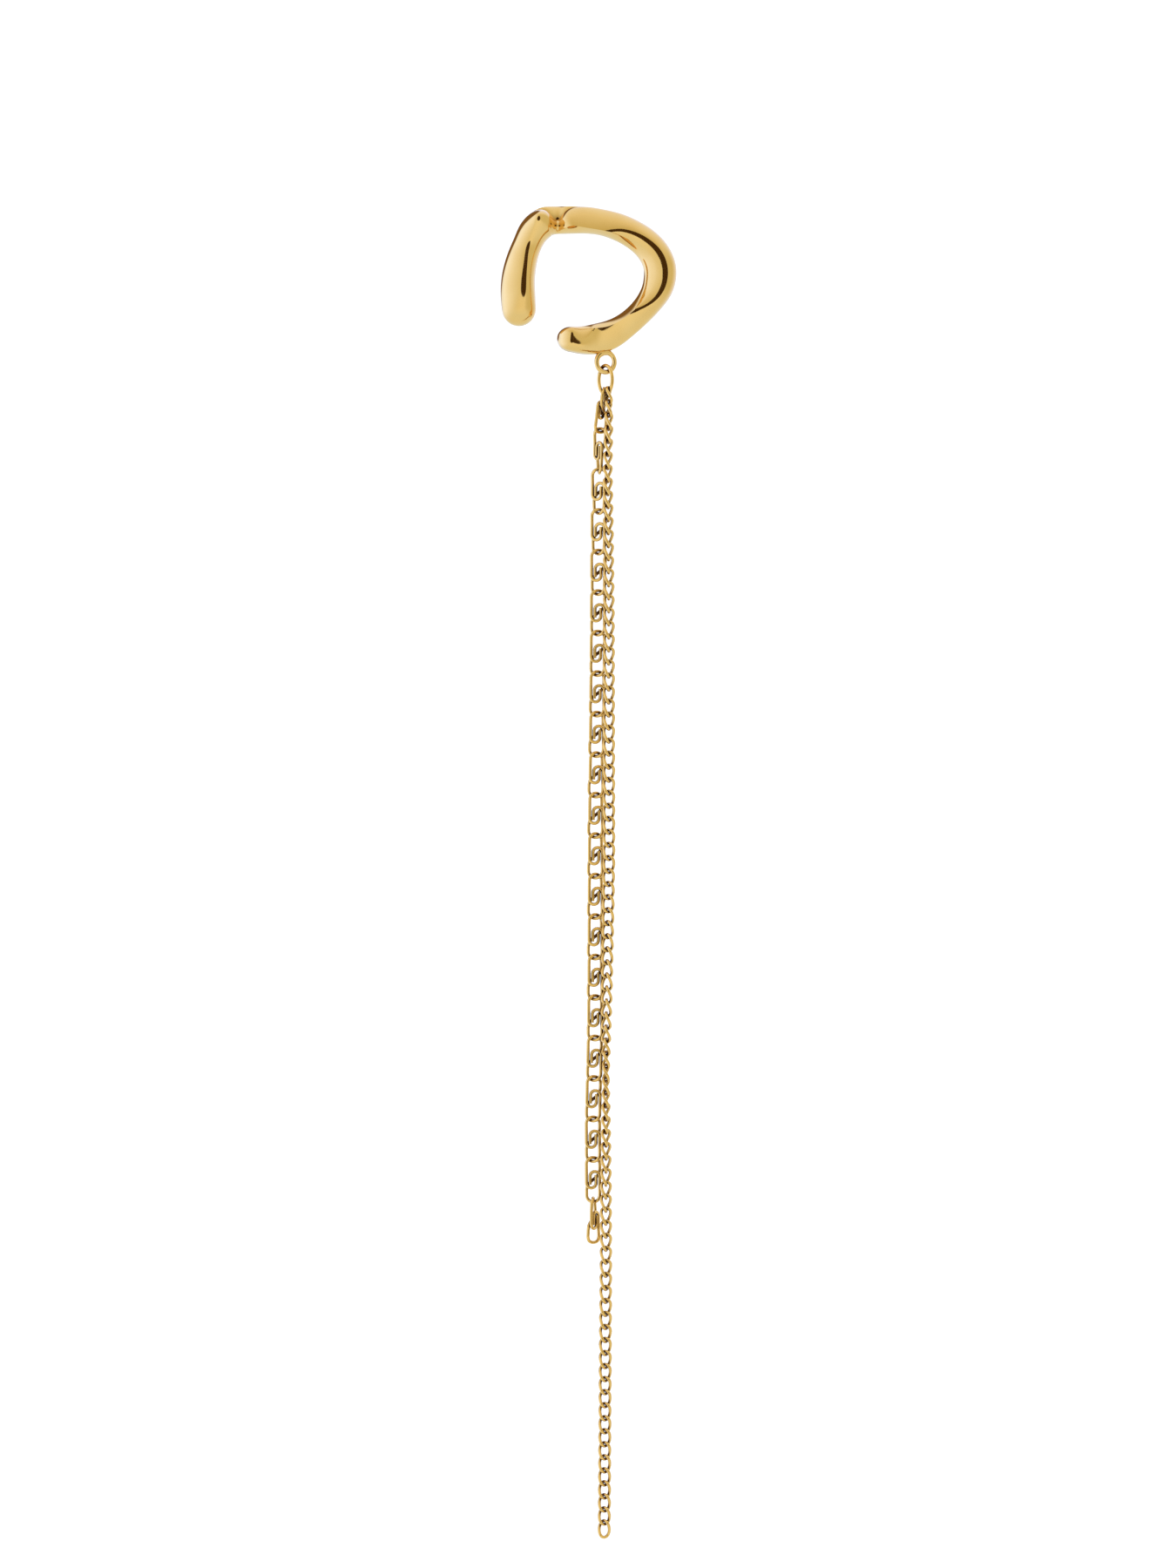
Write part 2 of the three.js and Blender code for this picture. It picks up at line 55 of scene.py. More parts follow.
# Sections from the end of the lobe over the crown to the tip. across and up are shares of the
# loop's width and height, wide a share of METAL_WIDTH, and set, front and rear shares of
# METAL_DEPTH, the last two of its half. peak and crease go from -1 inside to 1 outside, heel is
# how square the inner face is, below a brow of 1 the rear stands up behind the dome, and where
# round is less than 1 the dome's top is flatter than an ellipse.
COLUMNS = (
    "across", "up", "wide", "set", "front", "rear", "peak", "crease", "heel", "brow", "round",
)
SECTIONS = {
    "lobe_end": (0.009, 0.258, 1.03, 0.00, 0.95, 1.02, -0.25, -0.80, 0.58, 1.00, 1.00),
    "lobe_low": (0.002, 0.382, 1.05, 0.00, 1.12, 1.08, -0.43, -0.80, 0.61, 1.00, 1.00),
    "lobe_middle": (0.005, 0.520, 1.01, 0.00, 1.16, 1.11, -0.46, -0.80, 0.61, 1.00, 1.00),
    "lobe_high": (0.029, 0.665, 0.94, 0.00, 1.13, 1.06, -0.36, -0.80, 0.59, 1.00, 1.00),
    "shoulder": (0.067, 0.793, 0.88, 0.00, 1.11, 1.00, -0.12, -0.80, 0.56, 1.00, 1.00),
    "corner": (0.116, 0.907, 0.93, 0.00, 1.31, 0.94, 0.05, -0.80, 0.55, 1.00, 1.00),
    "turn": (0.183, 0.975, 0.92, 0.00, 1.50, 0.94, 0.52, -0.75, 0.55, 0.97, 1.00),
    "head": (0.229, 0.993, 0.88, 0.03, 1.12, 0.90, 0.05, -0.72, 0.58, 0.60, 1.00),
    "neck": (0.277, 0.999, 0.85, 0.06, 0.50, 0.86, -0.42, -0.68, 0.55, -0.05, 1.00),
    "nose": (0.326, 0.998, 0.84, 0.04, 0.84, 0.90, -0.48, -0.64, 0.50, 0.60, 1.00),
    "band_start": (0.384, 0.998, 0.83, 0.01, 0.98, 0.96, -0.70, -0.47, 0.50, 0.92, 1.00),
    "crown_left": (0.486, 0.996, 0.81, 0.00, 1.00, 1.00, -1.40, -0.62, 0.35, 1.00, 1.00),
    "crown": (0.596, 0.977, 0.79, 0.00, 1.00, 1.00, -1.10, -0.66, 0.35, 1.00, 1.00),
    "crown_right": (0.703, 0.940, 0.83, 0.00, 1.00, 1.00, -0.35, -0.55, 0.40, 1.00, 1.00),
    "bend_high": (0.800, 0.885, 0.86, 0.00, 1.00, 1.00, 0.05, -0.45, 0.45, 1.00, 1.00),
    "bend_upper": (0.893, 0.807, 0.91, 0.00, 1.00, 1.00, 0.25, -0.35, 0.50, 1.00, 1.00),
    "side_high": (0.963, 0.706, 0.96, 0.00, 1.00, 1.00, 0.40, -0.28, 0.55, 1.00, 1.00),
    "side": (0.998, 0.585, 0.99, 0.00, 1.00, 1.00, 0.43, -0.26, 0.60, 1.00, 1.00),
    "side_low": (0.985, 0.447, 0.95, 0.00, 1.00, 1.00, 0.42, -0.28, 0.60, 1.00, 1.00),
    "bend_lower": (0.931, 0.327, 0.82, 0.00, 0.97, 1.00, 0.25, -0.35, 0.50, 1.00, 1.00),
    "bend_low": (0.853, 0.217, 0.75, 0.00, 0.92, 1.00, -0.40, -0.45, 0.40, 1.00, 1.00),
    "foot_high": (0.757, 0.118, 0.77, 0.00, 0.88, 1.00, -1.20, -0.50, 0.35, 1.00, 1.00),
    "foot_right": (0.657, 0.044, 0.88, 0.00, 0.85, 1.00, -1.20, -0.55, 0.35, 1.00, 1.00),
    "foot": (0.559, 0.007, 0.93, 0.00, 0.86, 1.00, -0.85, -0.66, 0.45, 1.00, 1.00),
    "foot_left": (0.464, -0.005, 0.86, 0.00, 1.02, 1.00, 0.25, -0.72, 0.60, 1.00, 0.80),
    "tip": (0.382, 0.002, 0.78, 0.00, 1.12, 0.97, -0.25, -0.80, 0.82, 1.00, 0.55),
}
SPAN_STEPS = 8
CAP_STEPS = 14
DOME_SIDES = 40
HEEL_SIDES = 16
BACK_SIDES = 20
SMOOTHING_PASSES = 6


def between(a, b, c, d, t):
    """A value on the smooth curve from b to c, t of the way along."""
    bend = 2 * a - 5 * b + 4 * c - d + t * (3 * (b - c) + d - a)
    return b + 0.5 * t * (c - a + t * bend)


def body_rows():
    """The rows of SECTIONS with rows worked out between them, evened out as by polishing."""
    rows = list(SECTIONS.values())
    last = len(rows) - 1
    fine = []
    for i in range(last):
        around = [rows[max(i - 1, 0)], rows[i], rows[i + 1], rows[min(i + 2, last)]]
        for step in range(SPAN_STEPS):
            values = zip(*around)
            fine.append([between(*column, step / SPAN_STEPS) for column in values])
    fine.append(list(rows[last]))
    for _ in range(SMOOTHING_PASSES):
        middle = [
            [(a + 2 * b + c) / 4 for a, b, c in zip(*three)]
            for three in zip(fine, fine[1:], fine[2:])
        ]
        fine = [fine[0], *middle, fine[-1]]
    return [dict(zip(COLUMNS, row)) for row in fine]


def outer_back(s, brow):
    """The outer half of the back, s of the way up to the dome's edge, with the brow's ledge."""
    ledge = (1 - brow) * LEDGE_DEPTH
    share = (1 - brow) / (2 - brow)
    if s < 1 - share:
        angle = math.pi / 2 * s / (1 - share)
        return math.sin(angle), -ledge - (1 - ledge) * math.cos(angle)
    angle = math.pi / 2 * (1 - s) / share
    return brow + (1 - brow) * math.sin(angle), -ledge * (1 - math.cos(angle))


def section_points(row):
    """One section as (u, v): u from -1 inside to 1 outside, v from -1 behind to 1 in front."""
    peak, crease, heel, brow = row["peak"], row["crease"], row["heel"], row["brow"]

    def reach(side):
        return brow - peak if side >= 0 else 1 + peak

    def powered(value, power):
        return math.copysign(abs(value) ** power, value)

    crease_share = (crease - peak) / reach(crease - peak)
    crease_angle = math.acos(powered(crease_share, 1 / row["round"]))
    crease_height = math.sin(crease_angle) ** row["round"]
    points = []
    for k in range(DOME_SIDES):
        angle = crease_angle * k / DOME_SIDES
        side = powered(math.cos(angle), row["round"])
        points.append((peak + reach(side) * side, math.sin(angle) ** row["round"]))
    for k in range(HEEL_SIDES):
        t = k / HEEL_SIDES
        u = (1 - t) ** 2 * crease - 2 * t * (1 - t) - t**2
        points.append((u, crease_height * ((1 - t) ** 2 + 2 * t * (1 - t) * heel)))
    for k in range(BACK_SIDES):
        angle = math.pi / 2 * k / BACK_SIDES
        points.append((-math.cos(angle), -math.sin(angle)))
    return points + [outer_back(k / BACK_SIDES, brow) for k in range(BACK_SIDES)]


def body_line(rows):
    """For each row its place on the centre line, the way along, and the way outwards."""
    places = [Vector((row["across"] * LOOP_WIDTH, row["up"] * LOOP_HEIGHT)) for row in rows]
    line = []
    for i, row in enumerate(rows):
        along = places[min(i + 1, len(rows) - 1)] - places[max(i - 1, 0)]
        along.normalize()
        line.append((row, places[i], along, Vector((-along.y, along.x))))
    return line


def body_ring(station, shift, size, lean):
    """One ring of the body, moved along by shift and scaled, which rounds off the ends."""
    row, place, along, outward = station
    half = METAL_WIDTH * row["wide"] / 2
    back = row["set"] * METAL_DEPTH + lean * abs(shift)
    ring = []
    for u, v in section_points(row):
        reach = METAL_DEPTH / 2 * (row["front"] if v >= 0 else row["rear"])
        spot = place + along * shift + outward * (u * half * size)
        ring.append(Vector((spot.x, back - v * reach * size, spot.y)))
    return ring


def cap_rings(station, length, lean):
    """The rings of a round end, from the pole to the body. lean is how fast it goes back."""
    rings = []
    for k in range(CAP_STEPS, 0, -1):
        angle = math.pi / 2 * k / (CAP_STEPS + 1)
        rings.append(body_ring(station, length * math.sin(angle), math.cos(angle), lean))
    return rings


def skin(rings, closed):
    """Points and faces of a skin over rings of equal length, with its ends closed by fans."""
    sides = len(rings[0])
    points = [point for ring in rings for point in ring]
    faces = []
    for i in range(len(rings) if closed else len(rings) - 1):
        j = (i + 1) % len(rings)
        for k in range(sides):
            n = (k + 1) % sides
            faces.append((i * sides + k, i * sides + n, j * sides + n, j * sides + k))
    if not closed:
        for i, step in ((0, -1), (len(rings) - 1, 1)):
            centre = len(points)
            points.append(sum(rings[i], Vector()) / sides)
            for k in range(sides):
                edge = (i * sides + k, i * sides + (k + 1) % sides)
                faces.append((centre, *edge[::step]))
    return points, faces


line = body_line(body_rows())
crown_row, crown_place, _, crown_outward = min(
    line, key=lambda station: (station[1].x - SECTIONS["crown"][0] * LOOP_WIDTH) ** 2
    + (station[1].y - SECTIONS["crown"][1] * LOOP_HEIGHT) ** 2
)
seat = crown_place - crown_outward * METAL_WIDTH * crown_row["wide"] / 2
SEAT = Vector((seat.x, 0, seat.y))


def mesh_object(name, points, faces):
    """A smooth mesh, given in millimetres from the lobe's line and the foot's line."""
    mesh = bpy.data.meshes.new(name)
    mesh.from_pydata([(point - SEAT) * MM for point in points], [], faces)
    build = bmesh.new()
    build.from_mesh(mesh)
    bmesh.ops.recalc_face_normals(build, faces=build.faces)
    build.to_mesh(mesh)
    build.free()
    mesh.polygons.foreach_set("use_smooth", [True] * len(mesh.polygons))
    piece = bpy.data.objects.new(name, mesh)
    bpy.context.scene.collection.objects.link(piece)
    return piece


# The eye is a ring of wire, cut, bent and soldered to the underside of the foot. The solder
# flows up each leg, so the legs swell where they meet the body.
EYE_WIRE = 0.56
EYE_WIDTH = 2.65
EYE_HEIGHT = 2.85
EYE_ACROSS = 0.616
EYE_TURN = 15
SOLDER_DEPTH = 0.3
SOLDER_SWELL = 0.34
SOLDER_CLIMB = 0.75
SHARP_ANGLE = 35
WIRE_SIDES = 20
OVAL_SIDES = 80


def oval_points(width, height, diameter):
    """The centre line of a closed oval of wire, an ellipse in the plane of X and Z."""
    across, up = (width - diameter) / 2, (height - diameter) / 2
    angles = [2 * math.pi * k / OVAL_SIDES for k in range(OVAL_SIDES)]
    return [Vector((across * math.cos(a), 0, up * math.sin(a))) for a in angles]


def wire_rings(points, radii, closed):
    """Rings round a line of points that never runs along Y, for a round wire."""
    count = len(points)
    rings = []
    for i, point in enumerate(points):
        before = points[(i - 1) % count] if closed else points[max(i - 1, 0)]
        after = points[(i + 1) % count] if closed else points[min(i + 1, count - 1)]
        along = (after - before).normalized()
        side = Vector((0, 1, 0)).cross(along).normalized()
        up = along.cross(side)
        ring = []
        for k in range(WIRE_SIDES):
            angle = 2 * math.pi * (k + 0.5) / WIRE_SIDES
            ring.append(point + radii[i] * (side * math.cos(angle) + up * math.sin(angle)))
        rings.append(ring)
    return rings


def turned(points, turn, place):
    """Points turned about the vertical and then moved to their place."""
    return [Euler((0, 0, math.radians(turn))).to_matrix() @ point + place for point in points]


def underside_at(x):
    """The body's lowest edge at one place across."""
    edge = [place + outward * METAL_WIDTH * row["wide"] / 2 for row, place, _, outward in line]
    heights = [
        a.y + (b.y - a.y) * (x - a.x) / (b.x - a.x)
        for a, b in zip(edge, edge[1:])
        if a.x != b.x and 0 <= (x - a.x) / (b.x - a.x) <= 1
    ]
    return min(heights)


eye_x = EYE_ACROSS * LOOP_WIDTH
eye_top = underside_at(eye_x) + SOLDER_DEPTH
eye_line = oval_points(EYE_WIDTH, EYE_HEIGHT, EYE_WIRE)
eye_line = turned(eye_line, EYE_TURN, Vector((eye_x, 0, eye_top - EYE_HEIGHT / 2)))
eye_radii = []
for point in eye_line:
    below = underside_at(point.x) - point.z
    swell = SOLDER_SWELL * math.exp(-max(below, 0) / (SOLDER_CLIMB / 3))
    eye_radii.append((EYE_WIRE / 2) * (1 + swell))

cuff = mesh_object("cuff_polished", *skin([
    *cap_rings(line[0], -LOBE_CAP, LOBE_LEAN),
    *[body_ring(station, 0, 1, 0) for station in line],
    *reversed(cap_rings(line[-1], TIP_CAP, 0)),
], closed=False))
eye = mesh_object("eye_ring", *skin(wire_rings(eye_line, eye_radii, True), closed=True))
joining = cuff.modifiers.new("soldered", "BOOLEAN")
joining.operation = "UNION"
joining.solver = "EXACT"
joining.object = eye


def settle(piece):
    """Turns what a piece's modifiers make into its plain mesh."""
    graph = bpy.context.evaluated_depsgraph_get()
    mesh = bpy.data.meshes.new_from_object(piece.evaluated_get(graph))
    piece.modifiers.clear()
    piece.data = mesh
    return mesh


settle(cuff)
bpy.data.objects.remove(eye)
cuff.data.set_sharp_from_angle(angle=math.radians(SHARP_ANGLE))


# Finish of the cast piece: gold plate over polished brass, which mirrors the room. Under the
# mirror lie the faint swells that a buffing wheel leaves, and a little plating haze. Its colour
# also holds painted shade, turned towards brown in the crevices, where ambient occlusion is low.
CAST_TONES = ("#F3D08E", "#EAC27A")
CAST_PAINTED_SHADE = "#8A5A22"
CAST_HAZE = (0.04, 0.09)
CAST_SWELL = (0.9, 0.004)
CAST_CREVICE_SHADE = (1.2, 0.15, 0.75)
CLOUD_WIDTH = 2.5
CLOUD_RANGE = (0.3, 0.7)


def linear(colour):
    """A hex sRGB colour as the linear values that a shader takes."""
    channels = [int(colour[i:i + 2], 16) / 255 for i in (1, 3, 5)]
    return (*[c / 12.92 if c <= 0.04045 else ((c + 0.055) / 1.055) ** 2.4 for c in channels], 1)


def add_node(tree, kind, inputs=None, **settings):
    """A node with its settings, each input given a value or linked to another node's output."""
    node = tree.nodes.new(kind)
    for name, value in settings.items():
        setattr(node, name, value)
    for name, value in (inputs or {}).items():
        if isinstance(value, bpy.types.NodeSocket):
            tree.links.new(value, node.inputs[name])
        else:
            node.inputs[name].default_value = value
    return node


def gold(name, tones, brown, haze, swell, crevice_shade):
    """Gold plate from its two tones and the colour of its painted shade, its range of roughness,
    the width and rise of its swells in mm, and the painted shade in its crevices, mixed into the
    colour
    where ambient occlusion is low: how far the occlusion looks in mm, and how open a place is
    where it is fully shaded and where it is bright."""
    swell_width, swell_rise = swell
    shade_distance, shaded_at, unshaded_at = crevice_shade
    material = bpy.data.materials.new(name)
    material.use_nodes = True
    tree = material.node_tree
    tree.nodes.clear()
    place = add_node(tree, "ShaderNodeTexCoord").outputs["Object"]
    cloud = add_node(tree, "ShaderNodeTexNoise", {
        "Vector": place, "Scale": 1 / (CLOUD_WIDTH * MM), "Detail": 2.0, "Roughness": 0.5,
    })
    tone = add_node(tree, "ShaderNodeMix", {
        "Factor": cloud.outputs["Fac"], "A": linear(tones[0]), "B": linear(tones[1]),
    }, data_type="RGBA")
    # Painted shade: where ambient occlusion is low, in crevices and between parts, the colour is
    # mixed towards the brown.
    open_sky = add_node(tree, "ShaderNodeAmbientOcclusion", {"Distance": shade_distance * MM})
    unshaded_share = add_node(tree, "ShaderNodeMapRange", {
        "Value": open_sky.outputs["AO"], "From Min": shaded_at, "From Max": unshaded_at,
    })
    worked = add_node(tree, "ShaderNodeMix", {
        "Factor": unshaded_share.outputs["Result"], "A": linear(brown), "B": tone.outputs["Result"],
    }, data_type="RGBA")
    rough = add_node(tree, "ShaderNodeMapRange", {
        "Value": cloud.outputs["Fac"], "From Min": CLOUD_RANGE[0], "From Max": CLOUD_RANGE[1],
        "To Min": haze[0], "To Max": haze[1],
    })
    ripple = add_node(tree, "ShaderNodeTexNoise", {
        "Vector": place, "Scale": 1 / (swell_width * MM), "Detail": 1.5, "Roughness": 0.45,
    })
    bump = add_node(tree, "ShaderNodeBump", {
        "Height": ripple.outputs["Fac"], "Strength": 1.0, "Distance": swell_rise * MM,
    })
    shader = add_node(tree, "ShaderNodeBsdfPrincipled", {
        "Base Color": worked.outputs["Result"], "Metallic": 1.0,
        "Roughness": rough.outputs["Result"], "Normal": bump.outputs["Normal"],
    })
    add_node(tree, "ShaderNodeOutputMaterial", {"Surface": shader.outputs["BSDF"]})
    return material


polished_gold = gold(
    "buffed_gold_plate", CAST_TONES, CAST_PAINTED_SHADE, CAST_HAZE, CAST_SWELL, CAST_CREVICE_SHADE,
)
cuff.data.materials.clear()
cuff.data.materials.append(polished_gold)
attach(cuff, "root")
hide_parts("cuff")


# The oval link: drawn brass wire, bent round a mandrel, closed and plated. It hangs in the eye
# and carries both chains.
WIRE_TONES = ("#F4CC80", "#E8BC6C")
# The brown is painted shade: the wire's colour turns to it where one wire lies close behind
# another.
WIRE_PAINTED_SHADE = "#5A3414"
WIRE_HAZE = (0.06, 0.12)
WIRE_SWELL = (0.35, 0.002)
WIRE_CREVICE_SHADE = (0.9, 0.50, 0.90)
OVAL_WIRE = 0.42
OVAL_WIDTH = 2.3
OVAL_HEIGHT = 3.7
OVAL_TURN = -36
HANG_PLAY = 0.27

# Finish of the wire: the same plate over drawn brass that no wheel has buffed. It is a little
# duller than the cast piece, and painted shade makes it dark brown where one wire lies close
# behind another.
drawn_gold = gold(
    "drawn_gold_wire", WIRE_TONES, WIRE_PAINTED_SHADE, WIRE_HAZE, WIRE_SWELL, WIRE_CREVICE_SHADE,
)
eye_floor = eye_top - EYE_HEIGHT + EYE_WIRE
oval_top = eye_floor + HANG_PLAY + OVAL_WIRE
oval_line = oval_points(OVAL_WIDTH, OVAL_HEIGHT, OVAL_WIRE)
oval_line = turned(oval_line, OVAL_TURN, Vector((eye_x, 0, oval_top - OVAL_HEIGHT / 2)))
oval_radii = [OVAL_WIRE / 2] * len(oval_line)
oval = mesh_object("oval_link_wire", *skin(wire_rings(oval_line, oval_radii, True), closed=True))
oval.data.materials.append(drawn_gold)
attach(oval, "root")
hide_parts("oval_link")


# The scroll chain: 21 long links, each bent from one length of wire that makes an eye at each
# end and hooks flat over itself twice in the middle. Each link hangs in the one above.
SCROLL_LINKS = 21
SCROLL_PITCH = 4.65
SCROLL_WIDTH = 1.9
SCROLL_WIRE = 0.38
HOOK_WIDTH = 1.48
HOOK_HEIGHT = 2.26
LAYER_GAP = 0.04
EYE_SPREAD = 0.05
EYE_CROSSING = 0.62
DIAGONAL = ((0.86, 0.68), (0.50, 0.34))
LINK_PLAY = 0.08
SCROLL_REACH = (SCROLL_PITCH + SCROLL_WIRE + LINK_PLAY) / 2
ARC_STEPS = 18
SCROLL_SIDES = 12
SCROLL_ROUTE = [
    {"down": 0.00, "right": -0.16, "back": 0.12},
    {"down": 0.05, "right": -0.64, "back": 0.48},
    {"down": 0.10, "right": -0.70, "back": 0.50},
    {"down": 0.19, "right": -0.80, "back": 0.50},
    {"down": 0.33, "right": -0.92, "back": 0.50},
    {"down": 0.50, "right": -1.15, "back": 0.50},
    {"down": 0.76, "right": -1.21, "back": 0.50},
    {"down": 0.86, "right": -1.45, "back": 0.50},
    {"down": 1.00, "right": -1.40, "back": 0.50},
]
SCROLL_TURN = [
    {"link": 1, "turn": -119},
    {"link": 2, "turn": -58},
    {"link": 3, "turn": -27},
    {"link": 5, "turn": -10},
    {"link": 7, "turn": 0},
    {"link": 10, "turn": 14},
    {"link": 15, "turn": 10},
    {"link": 17, "turn": 0},
    {"link": 20, "turn": -2},
    {"link": 21, "turn": 58},
]


def read_table(rows, column, key, place):
    """One column of a table, read between the two rows whose key lies round a place."""
    i = 0
    while i < len(rows) - 2 and rows[i + 1][key] < place:
        i += 1
    before, after = rows[i], rows[i + 1]
    share = (place - before[key]) / (after[key] - before[key])
    share = min(max(share, 0), 1)
    return before[column] + (after[column] - before[column]) * share


def arc(x, z, radius, start, end):
    """Points on an arc in the plane of X and Z, with its angles in degrees."""
    points = []
    for k in range(ARC_STEPS + 1):
        angle = math.radians(start + (end - start) * k / ARC_STEPS)
        points.append(Vector((x + radius * math.cos(angle), 0, z + radius * math.sin(angle))))
    return points


def scroll_line():
    """The centre line of one link's wire, from one hook's free end to the other's. DIAGONAL has
    the points where it crosses behind, as shares of half the width and of the hook's reach."""
    half = (SCROLL_WIDTH - SCROLL_WIRE) / 2
    hook_radius = (HOOK_WIDTH - SCROLL_WIRE) / 2
    strand = 2 * hook_radius - half
    layer = (SCROLL_WIRE + LAYER_GAP) / 2
    hook_reach = (HOOK_HEIGHT - SCROLL_WIRE) / 2
    eye_z = SCROLL_REACH - half
    hook_z = hook_radius - hook_reach
    front = [Vector((strand, 0, hook_reach - SCROLL_WIRE))]
    front += arc((strand - half) / 2, hook_z, hook_radius, 0, -180)
    front.append(Vector((-half, 0, eye_z / 2)))
    loop = arc(0, eye_z, half, 180, 0)
    behind = [Vector((half, 0, hook_reach + SCROLL_WIRE / 2))]
    behind += [Vector((half * across, 0, hook_reach * up)) for across, up in DIAGONAL]
    for point in front:
        point.y = -layer
    for point in loop:
        point.y = (layer + EYE_SPREAD) * min(max(point.x / (half * EYE_CROSSING), -1), 1)
    for point in behind:
        point.y = layer
    upper = front + loop + behind
    lower = [Vector((-point.x, point.y, -point.z)) for point in reversed(upper)]
    return upper + lower


def rise(right, back):
    """How far the oval link's wire lies above its lowest inner point, beside the middle."""
    across, up = (OVAL_WIDTH - OVAL_WIRE) / 2, (OVAL_HEIGHT - OVAL_WIRE) / 2
    return up * (1 - math.sqrt(1 - (right**2 + back**2) / across**2))


def link_points(name, places, angles):
    """A cloud of points in metres for a chain's links, each with the way its link is turned."""
    cloud = bpy.data.meshes.new(name)
    cloud.from_pydata([(place - SEAT) * MM for place in places], [], [])
    turns = cloud.attributes.new("turned", "FLOAT_VECTOR", "POINT")
    turns.data.foreach_set("vector", [value for angle in angles for value in angle])
    chain = bpy.data.objects.new(name, cloud)
    bpy.context.scene.collection.objects.link(chain)
    return chain


def hung_links(route, pitch, count, top, turn_of):
    """Middles and angles of links that each hang from one point of the route to the next."""
    def joint(n):
        share = n / count
        right = read_table(route, "right", "down", share)
        back = read_table(route, "back", "down", share)
        return oval_floor + Vector((right, back, top - n * pitch))

    places = []
    angles = []
    for n in range(count):
        above, below = joint(n), joint(n + 1)
        places.append((above + below) / 2)
        hang = Vector((0, 0, 1)).rotation_difference(above - below)
        turn = Euler((0, 0, math.radians(turn_of(n + 1)))).to_quaternion()
        angles.append((hang @ turn).to_euler())
    return places, angles


def start_tree(name, sizes):
    """A geometry tree with an input for each named size, and a material."""
    tree = bpy.data.node_groups.new(name, "GeometryNodeTree")
    tree.interface.new_socket("Geometry", in_out="INPUT", socket_type="NodeSocketGeometry")
    for size, kind in sizes.items():
        tree.interface.new_socket(size, in_out="INPUT", socket_type=kind)
    tree.interface.new_socket("Material", in_out="INPUT", socket_type="NodeSocketMaterial")
    tree.interface.new_socket("Geometry", in_out="OUTPUT", socket_type="NodeSocketGeometry")
    return tree, tree.nodes.new("NodeGroupInput").outputs


def end_tree(tree, given, link):
    """Hangs the link on each point, makes the copies real, and gives them their material."""
    turned_by = add_node(tree, "GeometryNodeInputNamedAttribute", {"Name": "turned"},
                         data_type="FLOAT_VECTOR")
    hung = add_node(tree, "GeometryNodeInstanceOnPoints", {
        "Points": given["Geometry"], "Instance": link, "Rotation": turned_by.outputs["Attribute"],
    })
    real = add_node(tree, "GeometryNodeRealizeInstances", {"Geometry": hung.outputs["Instances"]})
    smooth = add_node(tree, "GeometryNodeSetShadeSmooth", {"Geometry": real.outputs["Geometry"]})
    finished = add_node(tree, "GeometryNodeSetMaterial", {
        "Geometry": smooth.outputs["Geometry"], "Material": given["Material"],
    })
    add_node(tree, "NodeGroupOutput", {"Geometry": finished.outputs["Geometry"]})


def make_chain(chain, tree, sizes):
    """Runs a tree on a cloud of points with these sizes, and keeps the plain mesh."""
    modifier = chain.modifiers.new(tree.name, "NODES")
    modifier.node_group = tree
    for item in tree.interface.items_tree:
        if item.in_out == "INPUT" and item.name in sizes:
            modifier[item.identifier] = sizes[item.name]
    settle(chain)


oval_floor = Vector((eye_x, 0, oval_top - OVAL_HEIGHT + OVAL_WIRE))

wire_curve = bpy.data.curves.new("scroll_wire", "CURVE")
wire_curve.dimensions = "3D"
spline = wire_curve.splines.new("POLY")
wire_path = [point * MM for point in scroll_line()]
spline.points.add(len(wire_path) - 1)
for point, place in zip(spline.points, wire_path):
    point.co = (*place, 1)
scroll_wire = bpy.data.objects.new("scroll_wire", wire_curve)
bpy.context.scene.collection.objects.link(scroll_wire)

scroll_tree, given = start_tree("scroll_links", {
    "Wire Line": "NodeSocketObject", "Wire": "NodeSocketFloat",
})
bent = add_node(scroll_tree, "GeometryNodeObjectInfo", {"Object": given["Wire Line"]})
radius = add_node(scroll_tree, "ShaderNodeMath", {0: given["Wire"], 1: 0.5}, operation="MULTIPLY")
profile = add_node(scroll_tree, "GeometryNodeCurvePrimitiveCircle", {
    "Resolution": SCROLL_SIDES, "Radius": radius.outputs["Value"],
})
link = add_node(scroll_tree, "GeometryNodeCurveToMesh", {
    "Curve": bent.outputs["Geometry"], "Profile Curve": profile.outputs["Curve"],
    "Fill Caps": True,
})
end_tree(scroll_tree, given, link.outputs["Mesh"])

first = SCROLL_ROUTE[0]
scroll_top = rise(first["right"], first["back"]) + HANG_PLAY
scroll_top += (SCROLL_WIRE + SCROLL_PITCH) / 2 - SCROLL_REACH
scroll = link_points("scroll_chain", *hung_links(
    SCROLL_ROUTE, SCROLL_PITCH, SCROLL_LINKS, scroll_top,
    lambda n: read_table(SCROLL_TURN, "turn", "link", n),
))
make_chain(scroll, scroll_tree, {
    "Wire Line": scroll_wire, "Wire": SCROLL_WIRE * MM, "Material": drawn_gold,
})
bpy.data.objects.remove(scroll_wire)
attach(scroll, "root")
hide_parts(*[f"scroll_link_{n:02d}" for n in range(1, SCROLL_LINKS + 1)])


# The curb chain: 88 small links of round wire, each twisted so that it lies flat against the
# next, and soldered shut. It hangs in the oval link in front of the scroll chain. CURB_PLAY
# lifts it, so that its slanting first link clears the oval's wire and the scroll chain.
CURB_LINKS = 88
CURB_PITCH = 1.495
CURB_WIDTH = 1.52
CURB_LENGTH = 2.275
CURB_WIRE = 0.36
CURB_TWIST = 0.27
CURB_PLAY = 0.24
CURB_STEPS = 28
CURB_SIDES = 8
CURB_ROUTE = [
    {"down": 0.00, "right": 0.34, "back": -0.20},
    {"down": 0.03, "right": 0.38, "back": -0.90},
    {"down": 0.07, "right": 0.24, "back": -0.85},
    {"down": 0.12, "right": 0.32, "back": -0.75},
    {"down": 0.19, "right": 0.38, "back": -0.64},
    {"down": 0.41, "right": 0.38, "back": -0.58},
    {"down": 0.57, "right": 0.04, "back": -0.50},
    {"down": 0.76, "right": 0.04, "back": -0.50},
    {"down": 1.00, "right": -0.16, "back": -0.50},
]
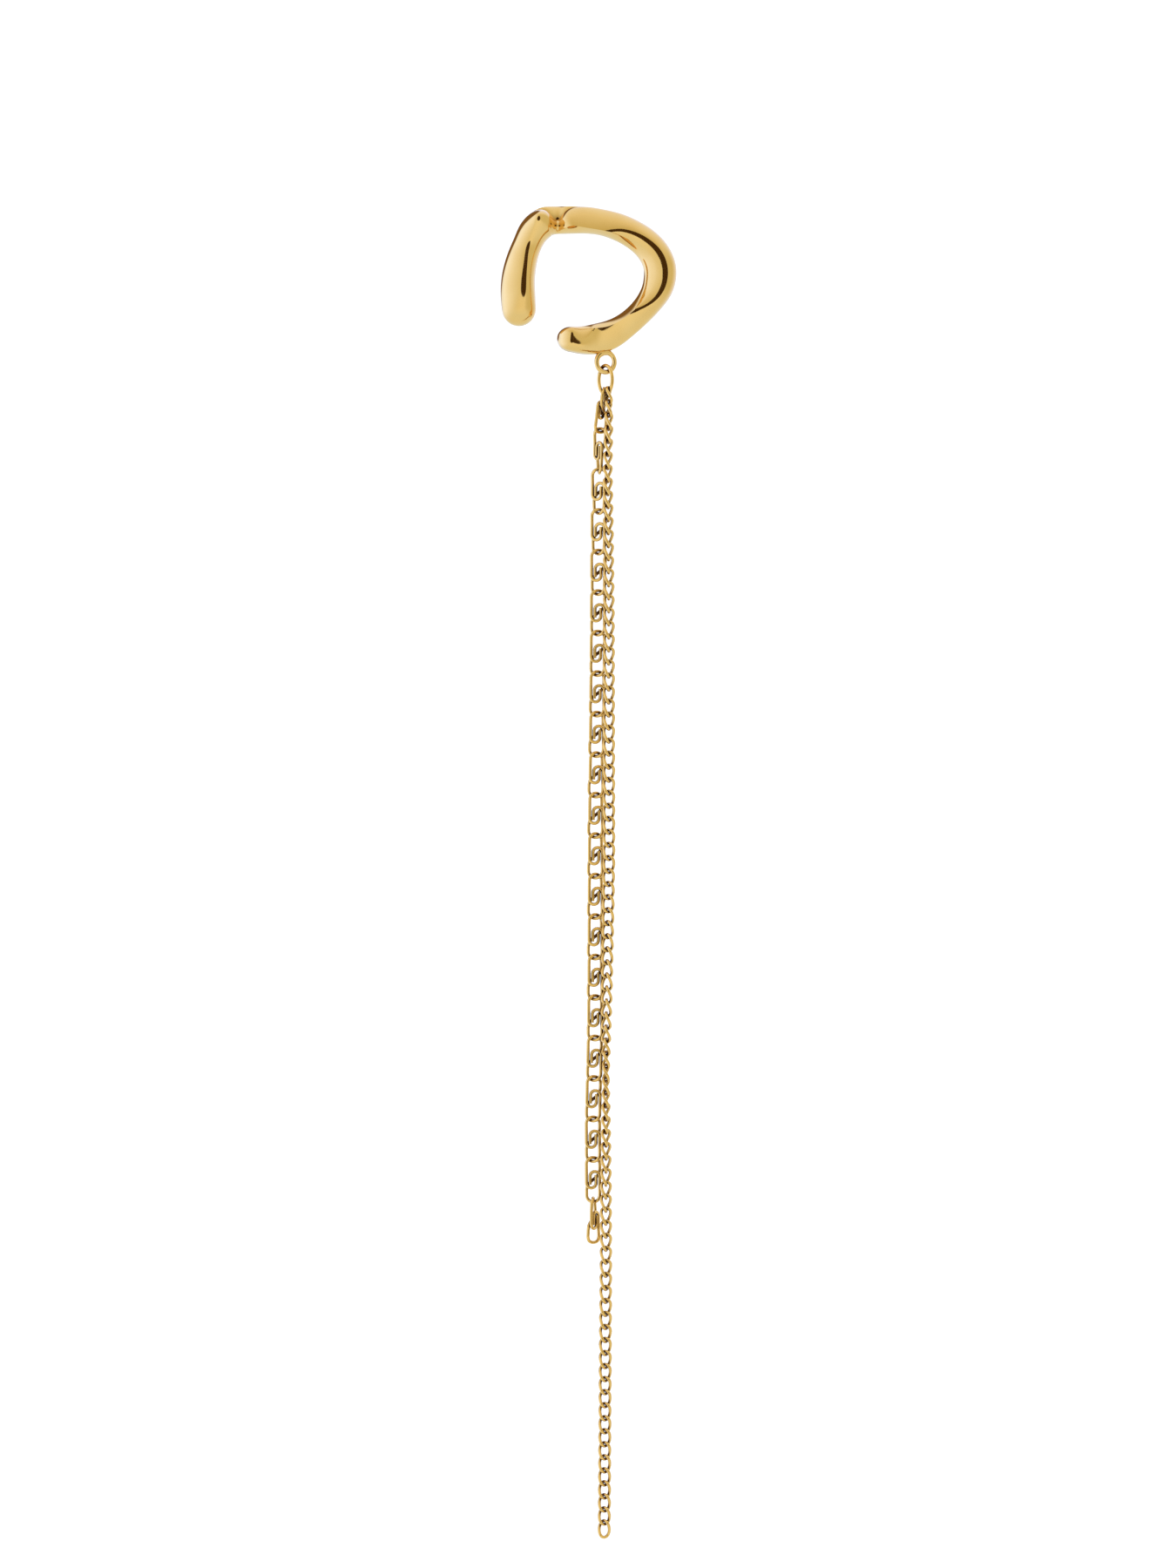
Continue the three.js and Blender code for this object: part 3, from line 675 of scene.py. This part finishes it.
CURB_TURN = [
    {"link": 1, "turn": 98},
    {"link": 3, "turn": 77},
    {"link": 8, "turn": 65},
    {"link": 18, "turn": 45},
    {"link": 28, "turn": 28},
    {"link": 38, "turn": 5},
    {"link": 43, "turn": -25},
    {"link": 46, "turn": -40},
    {"link": 50, "turn": -65},
    {"link": 53, "turn": -90},
    {"link": 57, "turn": -110},
    {"link": 62, "turn": -135},
    {"link": 70, "turn": -155},
    {"link": 78, "turn": -172},
    {"link": 88, "turn": -185},
]

curb_tree, given = start_tree("curb_links", {
    "Width": "NodeSocketFloat", "Length": "NodeSocketFloat",
    "Wire": "NodeSocketFloat", "Twist": "NodeSocketFloat",
})
ring = add_node(curb_tree, "GeometryNodeCurvePrimitiveCircle", {
    "Resolution": CURB_STEPS, "Radius": MM,
})
along = add_node(curb_tree, "GeometryNodeSplineParameter")
angle = add_node(curb_tree, "ShaderNodeMath", {
    0: along.outputs["Factor"], 1: 2 * math.pi,
}, operation="MULTIPLY").outputs["Value"]
double = add_node(curb_tree, "ShaderNodeMath", {0: angle, 1: 2.0}, operation="MULTIPLY")
coordinates = {}
for axis, wave, size, turning in (
    ("X", "COSINE", "Width", angle),
    ("Y", "SINE", "Twist", double.outputs["Value"]),
    ("Z", "SINE", "Length", angle),
):
    swing = add_node(curb_tree, "ShaderNodeMath", {0: turning}, operation=wave)
    if axis == "Y":
        reach = add_node(curb_tree, "ShaderNodeMath", {0: given[size], 1: -1.0},
                         operation="MULTIPLY")
    else:
        inner = add_node(curb_tree, "ShaderNodeMath", {0: given[size], 1: given["Wire"]},
                         operation="SUBTRACT")
        reach = add_node(curb_tree, "ShaderNodeMath", {0: inner.outputs["Value"], 1: 0.5},
                         operation="MULTIPLY")
    place = add_node(curb_tree, "ShaderNodeMath", {
        0: swing.outputs["Value"], 1: reach.outputs["Value"],
    }, operation="MULTIPLY")
    coordinates[axis] = place.outputs["Value"]
twisted = add_node(curb_tree, "ShaderNodeCombineXYZ", coordinates)
bent = add_node(curb_tree, "GeometryNodeSetPosition", {
    "Geometry": ring.outputs["Curve"], "Position": twisted.outputs["Vector"],
})
radius = add_node(curb_tree, "ShaderNodeMath", {0: given["Wire"], 1: 0.5}, operation="MULTIPLY")
profile = add_node(curb_tree, "GeometryNodeCurvePrimitiveCircle", {
    "Resolution": CURB_SIDES, "Radius": radius.outputs["Value"],
})
link = add_node(curb_tree, "GeometryNodeCurveToMesh", {
    "Curve": bent.outputs["Geometry"], "Profile Curve": profile.outputs["Curve"],
})
end_tree(curb_tree, given, link.outputs["Mesh"])

first = CURB_ROUTE[0]
curb_top = rise(first["right"], first["back"]) + CURB_PLAY
curb_top += CURB_WIRE + (CURB_PITCH - CURB_LENGTH) / 2
curb = link_points("curb_chain_links", *hung_links(
    CURB_ROUTE, CURB_PITCH, CURB_LINKS, curb_top,
    lambda n: read_table(CURB_TURN, "turn", "link", n),
))
make_chain(curb, curb_tree, {
    "Width": CURB_WIDTH * MM, "Length": CURB_LENGTH * MM, "Wire": CURB_WIRE * MM,
    "Twist": CURB_TWIST * MM, "Material": drawn_gold,
})
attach(curb, "root")
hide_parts("curb_chain")


# The floor, well below the chains: matt white board.
FLOOR_DROP = 0.30
FLOOR_WIDTH = 8.0
FLOOR_WHITE = "#FAFAFA"
FLOOR_ROUGHNESS = 0.9

half = FLOOR_WIDTH / 2
corners = [(x * half, y * half, -FLOOR_DROP) for x, y in ((-1, -1), (1, -1), (1, 1), (-1, 1))]
floor_mesh = bpy.data.meshes.new("floor")
floor_mesh.from_pydata(corners, [], [(0, 1, 2, 3)])
floor = bpy.data.objects.new("floor", floor_mesh)
bpy.context.scene.collection.objects.link(floor)
board = bpy.data.materials.new("white_board")
board.use_nodes = True
paint = board.node_tree.nodes["Principled BSDF"].inputs
paint["Base Color"].default_value = linear(FLOOR_WHITE)
paint["Roughness"].default_value = FLOOR_ROUGHNESS
floor_mesh.materials.append(board)
floor.visible_glossy = False


# The light: a white tent round the piece, which polished metal shows all over. Its left wall is
# the brightest and coolest, its right wall and its front dim and warm, because the room shows
# through them, and its seams behind and a dark gap for the lens draw the edges and the streaks.
# The backdrop itself is plain white. Each wall has a colour at each of WALL_ANGLES, in degrees
# from the lens. WALL_BLEND is where one wall runs into the opposite one, from -1 to 1 across, and
# END_BLEND where the side walls run into the top and the low one, from 0 level to 1 upright.
BACKDROP_WHITE = "#FFFFFF"
BACKDROP_STRENGTH = 1.15
TENT_STRENGTH = 2.2
WALL_ANGLES = (20, 60, 95, 150, 164, 174)
LEFT_WALL = ("#A7A89B", "#B5BCCA", "#BDCBF1", "#AFBFE6", "#AFBFE6", "#6E6658")
RIGHT_WALL = ("#9C9A82", "#9C9A82", "#9C9A80", "#AFB3C3", "#AFB3C3", "#6E6658")
TOP_WALL = ("#989376", "#ABA99D", "#B0B3B9", "#B2B9D5", "#B2B9D5", "#6E6658")
LOW_WALL = ("#B0B0A4", "#A8ACA6", "#A9ACA4", "#A6B0B8", "#A6B0B8", "#6E6658")
WALL_BLEND = (-1, 1)
END_BLEND = (0.2, 0.95)
GAP_ANGLE = 15.5
GAP_SOFTNESS = 0.002
GAP_BROWN = "#473319"
FLAG_WAY = (-0.50, 0.74, 0.45)
FLAG_ANGLES = (22, 32)
FLAG_BROWN = "#5A4426"

scene = bpy.context.scene
scene.view_settings.view_transform = "Standard"
world = bpy.data.worlds.new("tent")
world.use_nodes = True
sky = world.node_tree
sky.nodes.clear()
direction = add_node(sky, "ShaderNodeTexCoord").outputs["Generated"]
split = add_node(sky, "ShaderNodeSeparateXYZ", {"Vector": direction})


def math_of(operation, a, b=0.0):
    return add_node(sky, "ShaderNodeMath", {0: a, 1: b}, operation=operation).outputs["Value"]


def nearness(way):
    """How near the direction lies to a way, as a cosine."""
    return add_node(sky, "ShaderNodeVectorMath", {
        0: direction, 1: Vector(way).normalized(),
    }, operation="DOT_PRODUCT").outputs["Value"]


def step(value, low, high):
    """0 below one value and 1 above the other, with a soft step between them."""
    return add_node(sky, "ShaderNodeMapRange", {
        "Value": value, "From Min": low, "From Max": high,
    }, interpolation_type="SMOOTHSTEP").outputs["Result"]


def blend(share, a, b):
    return add_node(sky, "ShaderNodeMix", {
        "Factor": share, "A": a, "B": b,
    }, data_type="RGBA").outputs["Result"]


def wall(colours):
    """The colour of one wall of the tent, by the angle from the lens."""
    ramp = add_node(sky, "ShaderNodeValToRGB", {"Fac": from_lens})
    stops = ramp.color_ramp.elements
    while len(stops) < len(colours):
        stops.new(1)
    for stop, degrees, colour in zip(stops, WALL_ANGLES, colours):
        stop.position = degrees / 180
        stop.color = linear(colour)
    return ramp.outputs["Color"]


to_lens = nearness((0, -1, 0))
from_lens = math_of("DIVIDE", math_of("ARCCOSINE", to_lens), math.pi)
off_lens = math_of("SQRT", math_of("SUBTRACT", 1.0, math_of("POWER", to_lens, 2.0)))
to_right = math_of("DIVIDE", split.outputs["X"], off_lens)
to_top = math_of("DIVIDE", split.outputs["Z"], off_lens)
sides = blend(step(to_right, *WALL_BLEND), wall(LEFT_WALL), wall(RIGHT_WALL))
ends = blend(step(to_top, *WALL_BLEND), wall(LOW_WALL), wall(TOP_WALL))
walls = blend(step(math_of("ABSOLUTE", to_top), *END_BLEND), sides, ends)
flag = step(nearness(FLAG_WAY), *[math.cos(math.radians(a)) for a in reversed(FLAG_ANGLES)])
gap_edge = math.cos(math.radians(GAP_ANGLE))
tent_light = add_node(sky, "ShaderNodeBackground", {
    "Color": blend(flag, walls, linear(FLAG_BROWN)), "Strength": TENT_STRENGTH,
})
gap_light = add_node(sky, "ShaderNodeBackground", {"Color": linear(GAP_BROWN)})
backdrop = add_node(sky, "ShaderNodeBackground", {
    "Color": linear(BACKDROP_WHITE), "Strength": BACKDROP_STRENGTH,
})
seen = add_node(sky, "ShaderNodeMixShader", {
    0: step(to_lens, gap_edge - GAP_SOFTNESS, gap_edge + GAP_SOFTNESS),
    1: tent_light.outputs["Background"], 2: gap_light.outputs["Background"],
})
ray = add_node(sky, "ShaderNodeLightPath")
lit = add_node(sky, "ShaderNodeMixShader", {
    0: ray.outputs["Is Glossy Ray"], 1: backdrop.outputs["Background"],
    2: seen.outputs["Shader"],
})
add_node(sky, "ShaderNodeOutputWorld", {"Surface": lit.outputs["Shader"]})
scene.world = world


# The camera: a long lens, level with the middle of the chains, as in a catalogue picture.
LENS_DISTANCE = 1.2
VIEW_X = -1.37 * MM
VIEW_Z = -62.98 * MM
VIEW_HEIGHT = 180 * MM
SENSOR_HEIGHT = 36
CLIP_RANGE = (0.01, 20)

camera_data = bpy.data.cameras.new("camera")
camera_data.sensor_fit = "VERTICAL"
camera_data.sensor_height = SENSOR_HEIGHT
camera_data.lens = SENSOR_HEIGHT * LENS_DISTANCE / VIEW_HEIGHT
camera_data.clip_start, camera_data.clip_end = CLIP_RANGE
camera = bpy.data.objects.new("camera", camera_data)
scene.collection.objects.link(camera)
camera.location = (VIEW_X, -LENS_DISTANCE, VIEW_Z)
camera.rotation_euler = (math.radians(90), 0, 0)
scene.camera = camera
